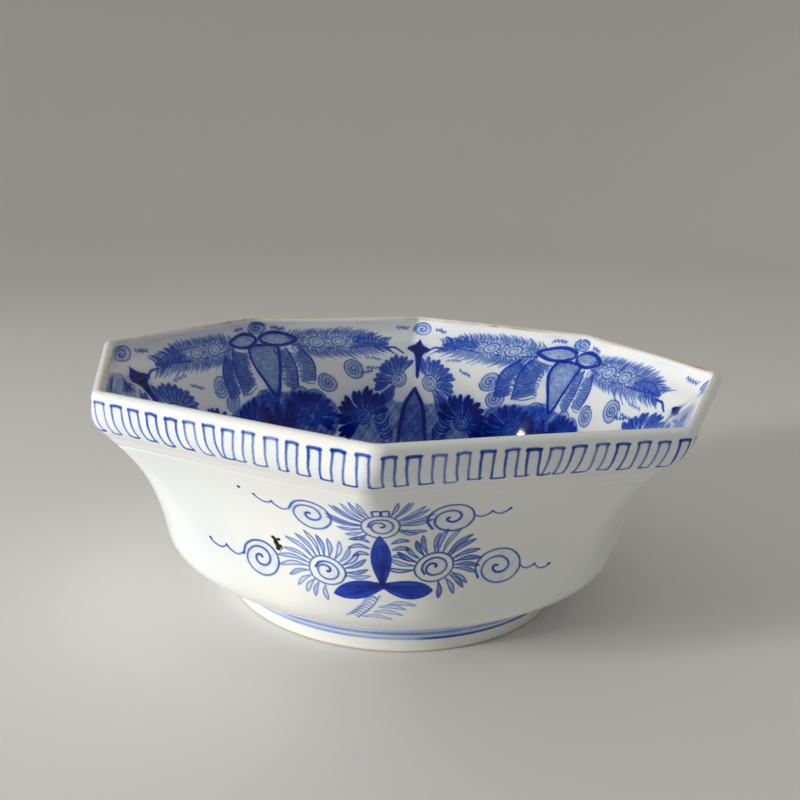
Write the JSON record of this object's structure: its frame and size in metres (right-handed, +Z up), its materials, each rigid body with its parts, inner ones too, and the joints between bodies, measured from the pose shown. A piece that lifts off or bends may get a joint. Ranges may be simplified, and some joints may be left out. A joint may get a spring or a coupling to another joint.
{
  "type": "footed octagonal serving bowl",
  "caption": "Deep octagonal porcelain serving bowl with an upright collar, a wall that softens to a circle, and a round foot ring.",
  "frame": {"origin": "middle of the plane that the foot ring rests on", "axes": "+Z up, out of the mouth; corners of the mouth lie on the X and Y axes and halfway between them, and the painted front corner faces -Y"},
  "size_m": [0.235, 0.235, 0.087],
  "materials": {
    "glaze": "glossy",
    "foot": "glossy, with a bare lower edge"
  },
  "bodies": {
    "root": {"foot_ring": "foot", "bowl_floor": "glaze", "bowl_wall": "glaze", "rim_collar": "glaze"}
  },
  "joints": []
}
